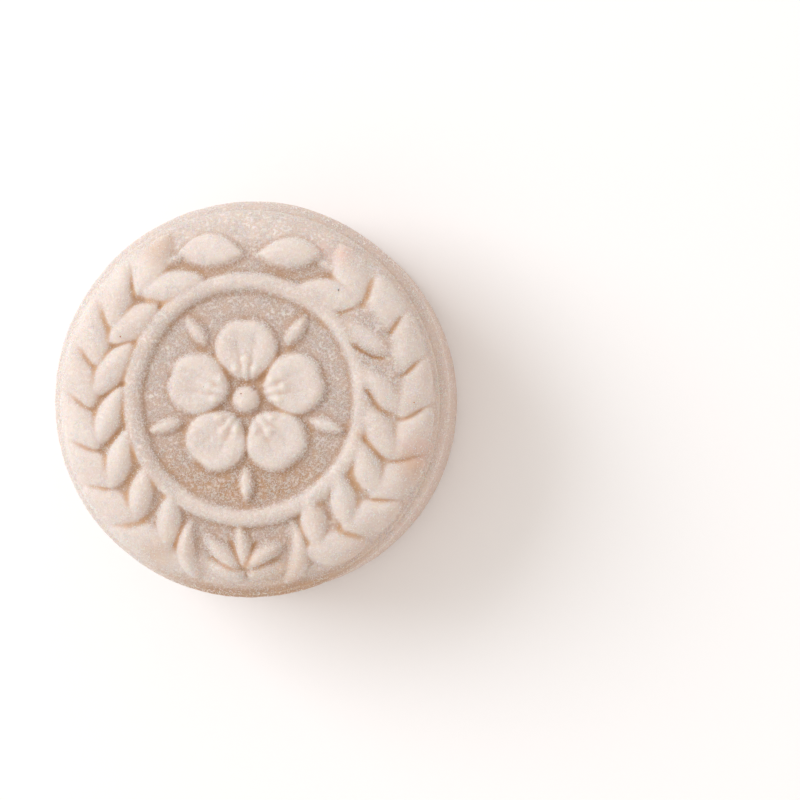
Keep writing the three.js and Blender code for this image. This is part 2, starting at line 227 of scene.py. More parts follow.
# Bits on the skin. A size is half the length, width and height.
CRYSTALS = dict(number=46000, size=(0.12, 0.065, 0.055), seed=11)
CRUMBS = dict(number=1000, size=(0.17, 0.13, 0.1), seed=12)
BRAN_SIZE = (0.17, 0.1, 0.05)
BRAN_SEED = 13
# Specks of bran in the skin: x, y about the stamp's middle, and how amber each is.
BRAN = (
    (-5.2, 1.5, 0.1), (-0.5, 0.7, 0.3), (11.4, 13.5, 0.0),
    (14.8, -11.3, 0.0), (20.7, -0.4, 1.0), (-15.8, 7.9, 0.6),
)

# ---------------------------------------------------------------- helpers for arrays


def smoothstep(low_edge, high_edge, value):
    """0 below low_edge, 1 above high_edge, and 3s^2 - 2s^3 between them."""
    s = np.clip((value - low_edge) / (high_edge - low_edge), 0, 1)
    return s * s * (3 - 2 * s)


def passing(least, most, limits, value):
    """`least` before the first limit, `most` past the second, smooth between them."""
    return least + (most - least) * smoothstep(*limits, value)


def at_least(least, share):
    """A share from 0 to 1, squeezed into the range from `least` to 1."""
    return least + (1 - least) * share


def noise(points, cell, seed):
    """Smooth noise from -1 to 1: random values on a cubic lattice of the given cell, blended by
    smoothsteps."""
    side = 64
    lattice = np.random.default_rng(seed).uniform(-1, 1, (side, side, side))
    scaled = points / cell
    corner = np.floor(scaled).astype(int)
    share = scaled - corner
    share = share * share * (3 - 2 * share)
    total = np.zeros(points.shape[:-1])
    for step in np.ndindex(2, 2, 2):
        weight = np.prod(np.where(step, share, 1 - share), axis=-1)
        index = (corner + step) % side
        total += weight * lattice[index[..., 0], index[..., 1], index[..., 2]]
    return total


def uneven(points, *octaves):
    """The sum of noises, each given by how far it goes, its cell and its seed."""
    return sum(reach * noise(points, cell, seed) for reach, cell, seed in octaves)


def soften(values, passes):
    """A grid of values blurred: each pass gives every cell half of its own value and a quarter of each of its
    two neighbours', first along the rows and then along the columns."""
    for _ in range(passes):
        for axis in (0, 1):
            pad = [(1, 1) if a == axis else (0, 0) for a in (0, 1)]
            wide = np.pad(values, pad, mode="edge")
            before, after = (wide[:-2], wide[2:]) if axis == 0 else (wide[:, :-2], wide[:, 2:])
            values = values / 2 + (before + after) / 4
    return values


def round_max(a, b, blend):
    """The larger of two heights, with the corner between them rounded off over `blend`."""
    return np.maximum(a, b) + np.maximum(blend - np.abs(a - b), 0) ** 2 / (4 * blend)


# ---------------------------------------------------------------- the pressed pattern


def turned(x, y, middle_x, middle_y, heading):
    """Plan points in a piece's own axes: along its heading, in degrees, and to the left of it."""
    c, s = math.cos(math.radians(heading)), math.sin(math.radians(heading))
    return (x - middle_x) * c + (y - middle_y) * s, (y - middle_y) * c - (x - middle_x) * s


def kernel_rise(x, y, middle_x, middle_y, heading, length, width, bow, share, shape=KERNEL_SHAPE):
    """Height of a kernel over the floor. Along its axis t runs from -1 to 1, and its half width there is
    w = width / 2 * (1 - t^2)^pointedness * (1 - KERNEL_TAPER * t), bowed sideways by bow * (1 - t^2). With
    q the square of the distance from the axis over w, the height is
    share * KERNEL_RISE * ((1 - t^2)^0.5 * (1 - q))^crest. Outside, it drops below the floor."""
    pointedness, crest = shape
    along, across = turned(x, y, middle_x, middle_y, heading)
    t = np.clip(along / (length / 2), -1, 1)
    fade = 1 - t * t
    half = width / 2 * fade**pointedness * (1 - KERNEL_TAPER * t) + 1e-6
    off_axis = np.abs(across - bow * fade)
    inside = np.sqrt(fade) * (1 - np.minimum(off_axis / half, 1) ** 2)
    away = np.hypot(np.maximum(np.abs(along) - length / 2, 0), np.maximum(off_axis - half, 0))
    return share * KERNEL_RISE * inside**crest - SKIRT * away


def petal_rise(x, y, heading):
    """Height of a petal, a round pad drawn in towards the flower's middle and notched at its outer edge.
    With s the share of the way from the petal's middle to its outline, the height is
    RELIEF * (1 - s^4)^0.5, less the dish PETAL_DISH * (1 - (s / DISH_REACH)^2)^1.5 and a few fine veins.
    The stamens stand on it: thin ridges that end in round anthers."""
    along, across = turned(x, y, 0, 0, heading)
    angle = np.arctan2(across, along - PETAL_CENTRE)
    notch = 1 - PETAL_NOTCH[0] * np.exp(-((angle / PETAL_NOTCH[1]) ** 2))
    narrowing = 1 - PETAL_WAIST * np.maximum(0, -np.cos(angle)) ** 2
    share = np.hypot((along - PETAL_CENTRE) / notch, across / narrowing) / PETAL_RADIUS
    dish = PETAL_DISH * np.maximum(0, 1 - (share / DISH_REACH) ** 2) ** 1.5
    rise = RELIEF * np.sqrt(np.maximum(1 - share**4, 0)) - dish
    for turn in VEIN_TURNS:
        out, beside = turned(x, y, 0, 0, heading + turn)
        line = VEIN_DEPTH * np.exp(-((beside / VEIN_WIDTH) ** 2))
        rise = rise - line * smoothstep(*VEIN_END, out) * (out > 0)
    for reach, turn in STAMENS:
        out, beside = turned(x, y, 0, 0, heading + turn)
        thread = np.exp(-((beside / (STAMEN_WIDTH / 2)) ** 2))
        thread = thread * smoothstep(reach, reach - STAMEN_END, out) * (out > 0)
        anther = np.exp(-((np.hypot(out - reach, beside) / ANTHER_RADIUS) ** 4))
        rise = rise + STAMEN_RISE * np.maximum(thread, ANTHER_RISE * anther)
    return rise - SKIRT * PETAL_RADIUS * np.maximum(share - 1, 0)


def dome_rise(x, y, radius, height):
    """Height of a round button: height * (1 - s^2)^0.5, with s the share of the radius."""
    share = np.hypot(x, y) / radius
    return height * np.sqrt(np.maximum(1 - share**2, 0)) - SKIRT * radius * np.maximum(share - 1, 0)


def ring_rise(x, y):
    """Height of the ring, half an ellipse across its width, which wavers and swells a little on its way
    round."""
    place = np.stack([x, y, np.zeros_like(x)], axis=-1)
    middle = RING_RADIUS + uneven(place, RING_WAVER)
    half = RING_WIDTH / 2 * (1 + uneven(place, RING_SWELL))
    across = (np.hypot(x, y / RING_STRETCH) - middle) / half
    top = RING_RISE * (1 + uneven(place, RING_HEAVE))
    return top * np.sqrt(np.maximum(1 - across**2, 0)) - SKIRT * np.maximum(np.abs(across) - 1, 0)


def ear_kernel(side, angle, radius, heading):
    """Middle and heading of an ear's kernel, whose heading is given for the left ear and mirrored on the
    right."""
    x = side * radius * math.sin(math.radians(angle))
    y = radius * math.cos(math.radians(angle))
    return x, y, heading if side < 0 else 180 - heading


def ear_row(ear, row, start, easing, sag):
    """The kernels of one row of an ear, from the top of the wreath down."""
    kernels = []
    for i in range(row["count"]):
        slipped = sag * math.sin(math.pi * min(i, SAG_KERNELS) / SAG_KERNELS)
        angle = start + row["step"] * i - easing * i * i + slipped
        radius = row["radius"] + row["drift"] * i - ear["inset"]
        length = (row["length"] - row["shortening"] * i) * ear["stretch"]
        width = (row["width"] - row["narrowing"] * i) * ear["swell"]
        place = ear_kernel(ear["side"], angle, radius, row["heading"](i, angle))
        kernels.append((*place, length, width, 0.0, 1.0, KERNEL_SHAPE))
    return kernels


def wreath_rows():
    """The wreath's pieces in rows that crease among themselves: the outer and the inner row of each ear,
    the top kernels, the stems and the tuft of leaves. A piece is what kernel_rise takes after the plan
    points. With each row goes the side of its pieces that is cut where they sink into the bed, 0 for
    none."""
    rows = []
    for ear in EARS:
        outer, inner = zip(ear["starts"], ear["easings"], ear["sags"])
        rows.append((ear_row(ear, OUTER_ROW, *outer), 0))
        rows.append((ear_row(ear, INNER_ROW, *inner), ear["side"]))
    return [*rows, (TOP_KERNELS, 0), (STEMS, 0), (LEAVES, 0)]


def blossom_pieces(x, y):
    """Heights of the blossom's petals, of the sepals between them and of its eye."""
    for i in range(PETALS):
        heading = 90 + 360 / PETALS * i
        yield petal_rise(x, y, heading)
        between = heading + 180 / PETALS
        sepal_x = SEPAL["radius"] * math.cos(math.radians(between))
        sepal_y = SEPAL["radius"] * math.sin(math.radians(between))
        size = (SEPAL["length"], SEPAL["width"], 0.0, SEPAL["share"])
        yield kernel_rise(x, y, sepal_x, sepal_y, between, *size)
    yield dome_rise(x, y, EYE_RADIUS, EYE_RISE)


def through(stops, value):
    """A height that passes smoothly through stops, each a value and the height there."""
    height = stops[0][1] + 0 * value
    for (begin, low_height), (end, high_height) in zip(stops, stops[1:]):
        height = height + (high_height - low_height) * smoothstep(begin, end, value)
    return height


def between_angles(angle, limits):
    """1 between the middle two of four angles, 0 outside the outer two, smooth between them."""
    begin, full, falling, end = limits
    return smoothstep(begin, full, angle) * smoothstep(end, falling, angle)


def bed_rise(x, y):
    """Heights of the beds under the ears, and of the beds and the shoulder outside them together, at plan
    points about the stamp."""
    angle = np.degrees(np.abs(np.arctan2(x, y)))
    radius = np.hypot(x, y)
    from_dome = np.hypot(x + STAMP_OFFSET[0], y + STAMP_OFFSET[1])
    left, right = EARS
    bed = np.where(x < 0, through(left["bed"], angle), through(right["bed"], angle))
    bed = bed * smoothstep(*BED_REACH, radius)
    bed = bed * passing(BED_OUTER_SHARE, 1, BED_STEP, radius)
    shoulder = np.where(x < 0, left["shoulder"], right["shoulder"])
    shoulder = shoulder * between_angles(angle, SHOULDER_ANGLES) * smoothstep(*SHOULDER_REACH, from_dome)
    return bed, (bed + shoulder) * smoothstep(*SHOULDER_FALL, from_dome)


def sunk_crease(x, y, kernel, rise, bed, cut_side):
    """How much of a cut runs beside a kernel sunk in the bed, on one side of its axis: with d the kernel's
    height less SUNK_SHARE of the bed's, exp(-(d / SUNK_WIDTH)^2), less towards the kernel's ends and on a
    low bed."""
    middle_x, middle_y, heading, length = kernel[:4]
    along, across = turned(x, y, middle_x, middle_y, heading)
    t = 2 * along / length
    line = np.exp(-(((rise - SUNK_SHARE * bed) / SUNK_WIDTH) ** 2))
    line = line * smoothstep(*SUNK_SIDE, cut_side * across)
    return line * smoothstep(*SUNK_TIP, t) * smoothstep(*SUNK_BASE, t) * smoothstep(*SUNK_RISE, bed)


def wreath_rise(x, y, bed):
    """Height over the floor of the wreath's highest piece at each plan point, and how much of a crease is
    there: 1 along the line where two pieces of a row are equally high, exp(-difference / CREASE_WIDTH)
    beside it, and less near the cake's edge and where the lower of the two has sunk below the floor or
    another row covers them. On a high bed the inner rows are cut along each kernel's lower side instead."""
    random = np.random.default_rng(STRAY_SEED)
    waver = uneven(np.stack([x, y, 0 * x], axis=-1), KERNEL_WAVER)
    mean_height, stray_height = STRAY_HEIGHT
    rows = []
    for row, cut_side in wreath_rows():
        first = np.full_like(x, -9.0)
        second = first.copy()
        sunk = np.zeros_like(x)
        for middle_x, middle_y, heading, length, width, bow, share, shape in row:
            stray = random.uniform(-1, 1, 4)
            place = (middle_x, middle_y, heading + STRAY_TURN * stray[0])
            size = (length * (1 + STRAY_LENGTH * stray[1]), width * (1 + STRAY_WIDTH * stray[2]), bow)
            height = share * (mean_height + stray_height * stray[3])
            rise = kernel_rise(x, y, *place, *size, height, shape) + waver
            second = np.maximum(second, np.minimum(first, rise))
            first = np.maximum(first, rise)
            if cut_side:
                sunk = np.maximum(sunk, sunk_crease(x, y, (*place, *size), rise, bed, cut_side))
        crease = np.exp((second - first) / CREASE_WIDTH) * smoothstep(*CREASE_REACH, second)
        if cut_side:
            crease = np.maximum(crease * (1 - smoothstep(*SUNK_BED, bed)), sunk)
        rows.append((first, crease))
    top = np.max([first for first, _ in rows], axis=0)
    creases = []
    for i, (first, crease) in enumerate(rows):
        others = np.max([other for j, (other, _) in enumerate(rows) if j != i], axis=0)
        creases.append(crease * smoothstep(*CREASE_COVER, first - others))
    return top, np.max(creases, axis=0) * (1 - CREASE_FADE * smoothstep(*CREASE_END, np.hypot(x, y)))


def pattern_rise(x, y):
    """Height of the whole pattern over its floor at plan points about the dome's axis, how much of a crease
    is there, and how much of the bare bed or of the ring's flour. Where a kernel meets the floor or the bed
    it is rounded."""
    x, y = x - STAMP_OFFSET[0], y - STAMP_OFFSET[1]
    bed, below = bed_rise(x, y)
    wreath, crease = wreath_rise(x, y, bed)
    ring = ring_rise(x, y)
    bare = smoothstep(*BARE_BED, bed) * smoothstep(*BARE_ABOVE, wreath - bed)
    frost = passing(*RING_FROST, FROST_LEFT, x)
    bare = np.maximum(bare, frost * smoothstep(*FROST_HEIGHT, ring))
    rise = round_max(below, ring, RING_FILLET)
    rise = round_max(rise, wreath, WREATH_FILLET) - CREASE_DEPTH * crease * (1 + CREASE_ON_BED * bed)
    for piece in (*blossom_pieces(x, y), *(kernel_rise(x, y, *awn) for awn in AWNS)):
        rise = round_max(rise, piece, BLOSSOM_FILLET)
    return rise, crease, bare


# ---------------------------------------------------------------- the skin's surface

FACE_CELLS = 256  # cells along each side of the square that is bent into the face
COLUMNS = 4 * FACE_CELLS
GROOVE_RINGS = np.array([0.3, 0.7])  # how far down the groove, as shares of its width
EDGE_RINGS = 8
WALL_RINGS = 17
FOOT_RINGS = 4
BASE_RINGS = np.array([0.6, 0.2])  # shares of the flat base's radius
SEAM_RINGS = 3  # the groove's and the first of the wall's edge, which carry painted shade
OUTLINE_SAMPLES = 4000

# How often each of the face's grids is blurred, and how often its height is to tell what is around a point.
RISE_PASSES = 2
CREASE_PASSES = 1
BARE_PASSES = 3
HOLLOW_PASSES = 8
BESIDE_PASSES = 22
AROUND_PASSES = 30

# What the values that the material reads go by: how far a point lies below its blurred surroundings, how high
# those are, or the distance from the axis.
CREASE_HOLLOW = (0.04, 0.2)
CREASE_AROUND = (0.5, 0.8)
CREASE_CUT = (0.05, 0.95)  # how much of a crease was cut there
CAVITY_HOLLOW = (0.0, 0.25)
BESIDE_HOLLOW = (0.0, 0.45)
GRAIN_HEIGHT = (0.1, 1.2)
GRAIN_AROUND = (0.45, 0.75)
GRAIN_ON_BARE = 0.9
PALE_OUTSIDE = (18.8, 20.6)
# The same values off the face. In the groove, crease and cavity are painted shade.
GROOVE_CREASE = 0.3
GROOVE_CAVITY = 0.1
WALL_GRAIN = 0.6
WALL_PALE = 0.9

# Painted shade: the front lower edge is darker and warmer in colour, by limits of y, of the distance
# from the axis, of x from the left and from the right, and of height. So is the front of the floor inside
# the ring.
RIM_FRONT = (-13, -24)
RIM_OUTSIDE = (23.0, 24.3)
RIM_FROM_LEFT = (-14, -4)
RIM_FROM_RIGHT = (24, 6)
RIM_UPWARD = (SEAM_HEIGHT - 2.6 * EDGE_DROP, SEAM_HEIGHT - 0.3 * EDGE_DROP)
FLOOR_FRONT = (-3, -12)
FLOOR_INSIDE = (13.6, 12.4)

# Painted shade on the wall, more to the right and further down: how much at least and at most, and limits of
# x and of height. On the face the painted shade begins only near the rim.
WALL_SHADE = (0.22, 0.9, (-20, 22))
WALL_SHADE_DOWN = (0.65, 1, (21, 16))
FACE_SHADE = 0.65
FACE_SHADE_RIGHT = (0, 20)
FACE_SHADE_OUTSIDE = (21.8, 24.4)


def disc_grid():
    """Share of the radius and angle of a square grid bent into a disc. A point (a, b) of the square, both
    from -1 to 1, goes to the radius max(|a|, |b|), and to pi/4 times the smaller over the larger from the
    nearer axis, so that the square's border becomes the rim."""
    line = np.linspace(-1, 1, FACE_CELLS + 1)
    a, b = np.meshgrid(line, line, indexing="ij")
    beside = np.abs(a) > np.abs(b)
    longer = np.where(beside, a, b)
    ratio = np.where(beside, b, a) / np.where(longer == 0, 1, longer)
    angle = np.where(beside, np.pi / 4 * ratio, np.pi / 2 - np.pi / 4 * ratio)
    angle = np.where(longer < 0, angle + np.pi, angle)
    return np.abs(longer), angle


def dome_outline(share):
    """Radius, height, and outward and upward parts of the normal, at a share of the way along the dome's
    outline from its middle to the groove. The outline is the superellipse
    (r / R)^DOME_POWER + (z / H)^DOME_POWER = 1 up to r = DOME_CUT * R."""
    full_radius = DOME_RADIUS / DOME_CUT
    radius = DOME_RADIUS * np.sin(np.linspace(0, np.pi / 2, OUTLINE_SAMPLES))
    height = DOME_HEIGHT * (1 - (radius / full_radius) ** DOME_POWER) ** (1 / DOME_POWER)
    length = np.concatenate([[0], np.cumsum(np.hypot(np.diff(radius), np.diff(height)))])
    r = np.interp(share * length[-1], length, radius)
    z = np.interp(share * length[-1], length, height)
    outward = (r / full_radius) ** (DOME_POWER - 1) / full_radius
    upward = (z / DOME_HEIGHT) ** (DOME_POWER - 1) / DOME_HEIGHT
    size = np.hypot(outward, upward)
    return r, DOME_FOOT + z, outward / size, upward / size


def around(radius, angle, height):
    """Points from cylindrical coordinates."""
    return np.stack([radius * np.cos(angle), radius * np.sin(angle), height + 0 * angle], axis=-1)


def face_points():
    """The face: points, their normals on the dome, the height of the pattern there, its creases and bare
    bed."""
    share, angle = disc_grid()
    radius, height, outward, upward = dome_outline(share)
    floor = around(radius, angle, height)
    normal = around(outward, angle, upward)
    fade = smoothstep(*PATTERN_FADE, radius / DOME_RADIUS)
    rise, crease, bare = pattern_rise(floor[..., 0], floor[..., 1])
    rise = soften(rise * fade, RISE_PASSES)
    return floor, normal, rise, soften(crease * fade, CREASE_PASSES), soften(bare * fade, BARE_PASSES)


def face_grid():
    """Indices of the face's points, as the square that was bent."""
    return np.arange((FACE_CELLS + 1) ** 2).reshape(FACE_CELLS + 1, FACE_CELLS + 1)


def face_border():
    """Indices of the face grid's border, once round counter-clockwise from the corner (-1, -1)."""
    grid = face_grid()
    return np.concatenate([grid[:-1, 0], grid[-1, :-1], grid[:0:-1, -1], grid[0, :0:-1]])


def wall_outline():
    """Radius and height of the rings from the groove to the middle of the base, and how far each follows the
    dome's offset: the groove's floor, the rounded upper edge of the wall, which is the last part of a quarter
    ellipse, the waisted wall, the rounded foot and the flat base."""
    groove_r = np.full(len(GROOVE_RINGS), DOME_RADIUS - GROOVE_DEPTH)
    groove_z = RIM_HEIGHT - GROOVE_WIDTH * GROOVE_RINGS
    begin = math.radians(EDGE_TURN)
    turn = np.linspace(begin, np.pi / 2, EDGE_RINGS)
    edge_r = MOULD_RADIUS - DOME_INSET * (1 - np.sin(turn)) / (1 - math.sin(begin))
    edge_z = SEAM_HEIGHT - EDGE_DROP * (1 - np.cos(turn) / math.cos(begin))
    share = np.linspace(0, 1, WALL_RINGS + 1)[1:]
    wall_r = MOULD_RADIUS + FOOT_SPREAD * share - WALL_WAIST * np.sin(np.pi * share)
    wall_z = edge_z[-1] + (FOOT_HEIGHT - edge_z[-1]) * share
    curve = np.linspace(0, np.pi / 2, FOOT_RINGS + 1)[1:]
    foot_r = FOOT_RADIUS - (FOOT_RADIUS - BASE_FLAT_RADIUS) * (1 - np.cos(curve))
    foot_z = FOOT_HEIGHT * (1 - np.sin(curve))
    base_r = BASE_FLAT_RADIUS * BASE_RINGS
    radius = np.concatenate([groove_r, edge_r, wall_r, foot_r, base_r])
    height = np.concatenate([groove_z, edge_z, wall_z, foot_z, 0 * base_r])
    follows = np.concatenate([np.ones(len(groove_r)), np.linspace(1, 0, EDGE_RINGS)])
    return radius, height, np.pad(follows, (0, len(radius) - len(follows)))


def make_mesh(name, points, faces, material, values, smooth=True):
    """An object of these points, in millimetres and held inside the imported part's box, and faces, riding on
    the part's only body. `values` are numbers per point that its material reads by name."""
    mesh = bpy.data.meshes.new(name)
    inside = np.clip(points, low, high)
    mesh.from_pydata((inside * MM).tolist(), [], faces)
    mesh.polygons.foreach_set("use_smooth", np.full(len(mesh.polygons), smooth))
    for key, numbers in values.items():
        mesh.attributes.new(key, "FLOAT", "POINT").data.foreach_set("value", numbers.astype(np.float32))
    mesh.materials.append(material)
    mesh.update()
    piece = bpy.data.objects.new(name, mesh)
    bpy.context.scene.collection.objects.link(piece)
    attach(piece, "root")
    return piece


def stains(floor, spots):
    """How much of a stain is at each point: the sum over the spots of exp(-(distance / reach)^2), at most
    1."""
    spread = (np.hypot(floor[..., 0] - x, floor[..., 1] - y) / reach for x, y, reach in spots)
    return np.minimum(sum(np.exp(-(away**2)) for away in spread), 1)


def skin_face():
    """The face's points, the floor of its pattern under them, and the values that its material reads
    there."""
    floor, normal, rise, cut, bare = face_points()
    around_it = soften(rise, AROUND_PASSES)
    hollow = soften(rise, HOLLOW_PASSES) - rise
    from_axis = np.hypot(floor[..., 0], floor[..., 1])
    crease = smoothstep(*CREASE_HOLLOW, hollow) * smoothstep(*CREASE_AROUND, around_it)
    grain = (1 - smoothstep(*GRAIN_HEIGHT, rise)) * (1 - smoothstep(*GRAIN_AROUND, around_it))
    # crease, cavity and beside paint shade into creases, hollows and the ground beside raised pieces; blush
    # and tan are stains.
    values = {
        "crease": np.maximum(crease, smoothstep(*CREASE_CUT, cut)),
        "cavity_shade": smoothstep(*CAVITY_HOLLOW, hollow),
        "beside": smoothstep(*BESIDE_HOLLOW, soften(rise, BESIDE_PASSES) - rise),
        "grain": np.maximum(grain, GRAIN_ON_BARE * bare),
        "pale": smoothstep(*PALE_OUTSIDE, from_axis),
        "blush": stains(floor, BLUSHES),
        "tan": stains(floor, TANS),
    }
    rough = uneven(floor, *FACE_ROUGHNESS) * smoothstep(*ROUGH_FADE, from_axis / DOME_RADIUS)
    return floor + normal * (rise + rough)[..., None] + DOME_OFFSET, floor, values


def wall_points(angle):
    """Rings of points from the groove to near the middle of the base, at the angles of the face's border.
    Their unevenness is outward, finer on the upper edge and none under the cake."""
    radius, height, offset = wall_outline()
    rings = around(radius[:, None], angle[None, :], height[:, None]) + offset[:, None, None] * DOME_OFFSET
    outward = around(np.ones_like(radius)[:, None], angle[None, :], np.zeros_like(height)[:, None])
    on_edge = (height > SEAM_HEIGHT - EDGE_DROP)[:, None]
    on_wall = (height > 0.01)[:, None]
    rough = uneven(rings, *WALL_ROUGHNESS) - WALL_INSET + uneven(rings, EDGE_ROUGHNESS) * on_edge
    return rings + outward * (rough * on_wall)[..., None]


def skin_faces(border, ring_count):
    """Four-sided faces of the whole skin, and the triangles that close its base. Its points are the face's,
    the rings' and the middle of the base."""
    grid = face_grid()
    face = np.stack([grid[:-1, :-1], grid[1:, :-1], grid[1:, 1:], grid[:-1, 1:]], axis=-1)
    rings = grid.size + np.arange(ring_count * COLUMNS).reshape(ring_count, COLUMNS)
    loops = np.concatenate([[border], rings])
    following = np.roll(loops, -1, axis=1)
    side = np.stack([loops[:-1], loops[1:], following[1:], following[:-1]], axis=-1)
    middle = np.full(COLUMNS, grid.size + rings.size)
    fan = np.stack([loops[-1], middle, following[-1]], axis=-1)
    return np.concatenate([face.reshape(-1, 4), side.reshape(-1, 4)]), fan


def skin_values(points, on_face):
    """The values per point that the material reads, for the whole cake, from those on its face."""
    x, y, z = points.T
    off_axis = np.hypot(x, y)
    first = on_face["grain"].size
    rest = len(points) - first
    # The groove's rings carry painted shade.
    in_groove = np.arange(rest) < SEAM_RINGS * COLUMNS
    elsewhere = {
        "crease": in_groove * GROOVE_CREASE,
        "cavity_shade": in_groove * GROOVE_CAVITY,
        "grain": WALL_GRAIN,
        "pale": WALL_PALE,
    }
    values = {}
    for name, numbers in on_face.items():
        values[name] = np.concatenate([numbers.ravel(), np.zeros(rest) + elsewhere.get(name, 0)])
    # Painted shade on the front lower edge, fading up the wall and towards the sides.
    rim = smoothstep(*RIM_FRONT, y) * smoothstep(*RIM_OUTSIDE, off_axis)
    rim = rim * smoothstep(*RIM_FROM_LEFT, x) * smoothstep(*RIM_FROM_RIGHT, x)
    values["painted_rim_shade"] = rim * smoothstep(*RIM_UPWARD, z)
    # Painted shade on the front of the floor inside the ring.
    values["painted_floor_shade"] = smoothstep(*FLOOR_FRONT, y) * smoothstep(*FLOOR_INSIDE, off_axis)
    # Painted shade on the wall, more to the right and lower down, and on the face near its right rim.
    wall = passing(*WALL_SHADE, x) * passing(*WALL_SHADE_DOWN, z)
    near_rim = smoothstep(*FACE_SHADE_OUTSIDE, off_axis[:first])
    wall[:first] = FACE_SHADE * smoothstep(*FACE_SHADE_RIGHT, x[:first]) * near_rim
    values["wall"] = wall
    return values


def skin():
    """Points, four-sided faces, the triangles that close the base, and values per point of the whole cake."""
    face, floor, on_face = skin_face()
    border = face_border()
    rim = floor.reshape(-1, 3)[border]
    rings = wall_points(np.arctan2(rim[:, 1], rim[:, 0]))
    quads, fan = skin_faces(border, len(rings))
    points = np.concatenate([face.reshape(-1, 3), rings.reshape(-1, 3), [[0, 0, 0]]])
    return points, quads, fan, skin_values(points, on_face)


# ---------------------------------------------------------------- bits on the skin

# A sharp little pyramid: its corners along, across and up, and its faces.
SPLINTER = np.array([(-1, -0.6, -0.5), (1, -0.8, -0.5), (0.1, 1, -0.5), (0, 0, 1)])
SPLINTER_FACES = np.array([(0, 2, 1), (0, 1, 3), (1, 2, 3), (2, 0, 3)])
SPLINTER_FACTORS = (0.6, 1.6)  # smallest and largest, times the size

# Where the crystals lie. They come in patches, and are fewest off the grainy floor, outside the patches and
# on steep sides. The painted shade on the wall, beside raised pieces and on the front lower edge takes away
# from them.
PATCHES = ((1, 1.1, 31), (0.6, 0.45, 32))
PATCH_EDGE = (-0.5, 0.5)
LEAST_OFF_GRAIN = 0.3
LEAST_OFF_PATCH = 0.2
LEAST_ON_STEEP = 0.25
STEEP_TO_LEVEL = (0.05, 0.5)  # upward part of the normal
UNDERSIDE = -0.3  # upward part of the normal, below which there are none
TAKEN_AWAY = {"wall": 0.8, "beside": 0.85, "painted_rim_shade": 0.5}

# Where the crumbs lie: outside this share of the radius, behind this y and above this height.
CRUMBS_OUTSIDE = 0.93
CRUMBS_BEHIND = -18
CRUMBS_ABOVE = SEAM_HEIGHT - 0.8 * EDGE_DROP
LEAST_CRUMBS = 0.3
FAR = 99  # sets the quads below the dome apart from those where bran may lie


def splinters(spots, normals, size, random):
    """Points and faces of one splinter at each spot of the surface. Each lies along the skin in a random
    direction. `size` holds its half sizes along, across and up from the skin, and one of SPLINTER_FACTORS or
    between them sizes it."""
    along = np.cross(normals, random.normal(size=normals.shape))
    along /= np.linalg.norm(along, axis=1, keepdims=True)
    beside = np.cross(normals, along)
    factor = random.uniform(*SPLINTER_FACTORS, (len(spots), 1))
    axes = np.stack([axis * half * factor for axis, half in zip((along, beside, normals), size)], axis=1)
    points = spots[:, None, :] + np.einsum("pk,nkc->npc", SPLINTER, axes)
    faces = SPLINTER_FACES[None] + len(SPLINTER) * np.arange(len(spots))[:, None, None]
    return points.reshape(-1, 3), faces.reshape(-1, 3).tolist()


def strew(name, surface, weight, number, size, seed):
    """One mesh of splinters on the surface, whose quads' corners, normals, areas and grain are given. A
    quad's chance is its area times its weight, and a splinter's place on it is random: with u and v from 0
    to 1, it is the mix of its corners by (1 - u)(1 - v), u(1 - v), uv and (1 - u)v."""
    corners, normals, areas, grain = surface
    random = np.random.default_rng(seed)
    chance = weight * areas
    at = random.choice(len(corners), number, p=chance / chance.sum())
    u, v = random.uniform(0, 1, (2, number))
    shares = np.stack([(1 - u) * (1 - v), u * (1 - v), u * v, (1 - u) * v], axis=1)
    spots = np.einsum("nk,nkc->nc", shares, corners[at])
    points, faces = splinters(spots, normals[at], size, random)
    values = {"grain": np.repeat(grain[at], len(SPLINTER))}
    make_mesh(name, points, faces, crystal_material(), values, smooth=False)


def strew_everything(points, quads, values):
    """Rice crystals all over the skin, most on the floor of the pattern and fewer on steep sides, coarser
    crumbs on the cake's upper edge, and the specks of bran."""
    corners = points[quads]
    normals = np.cross(corners[:, 2] - corners[:, 0], corners[:, 3] - corners[:, 1])
    length = np.linalg.norm(normals, axis=1, keepdims=True)
    normals = normals / length
    upward = normals[:, 2]
    centre = corners.mean(axis=1)
    grain = values["grain"][quads[:, 0]]
    surface = corners, normals, length[:, 0] / 2, grain
    patches = smoothstep(*PATCH_EDGE, uneven(centre, *PATCHES))

    weight = at_least(LEAST_OFF_GRAIN, grain) * at_least(LEAST_OFF_PATCH, patches)
    # Fewer crystals where shade is painted.
    for name, taken in TAKEN_AWAY.items():
        weight = weight * (1 - taken * values[name][quads[:, 0]])
    weight = weight * at_least(LEAST_ON_STEEP, smoothstep(*STEEP_TO_LEVEL, upward))
    strew("rice_crystals", surface, weight * (upward > UNDERSIDE), **CRYSTALS)

    on_edge = np.hypot(centre[:, 0], centre[:, 1]) > CRUMBS_OUTSIDE * MOULD_RADIUS
    on_edge = on_edge & (centre[:, 1] > CRUMBS_BEHIND) & (centre[:, 2] > CRUMBS_ABOVE)
    strew("crumbs", surface, on_edge * at_least(LEAST_CRUMBS, patches), **CRUMBS)

    places = np.array([speck[:2] for speck in BRAN]) + STAMP_OFFSET + DOME_OFFSET[:2]
    gap = centre[:, None, :2] - places
    away = np.hypot(gap[..., 0], gap[..., 1]) + (centre[:, 2:3] < DOME_FOOT) * FAR
    at = away.argmin(axis=0)
    bits, sides = splinters(centre[at], normals[at], BRAN_SIZE, np.random.default_rng(BRAN_SEED))
    amber = np.repeat([speck[2] for speck in BRAN], len(SPLINTER))
    make_mesh("bran_specks", bits, sides, bran_material(), {"amber": amber})


# ---------------------------------------------------------------- materials

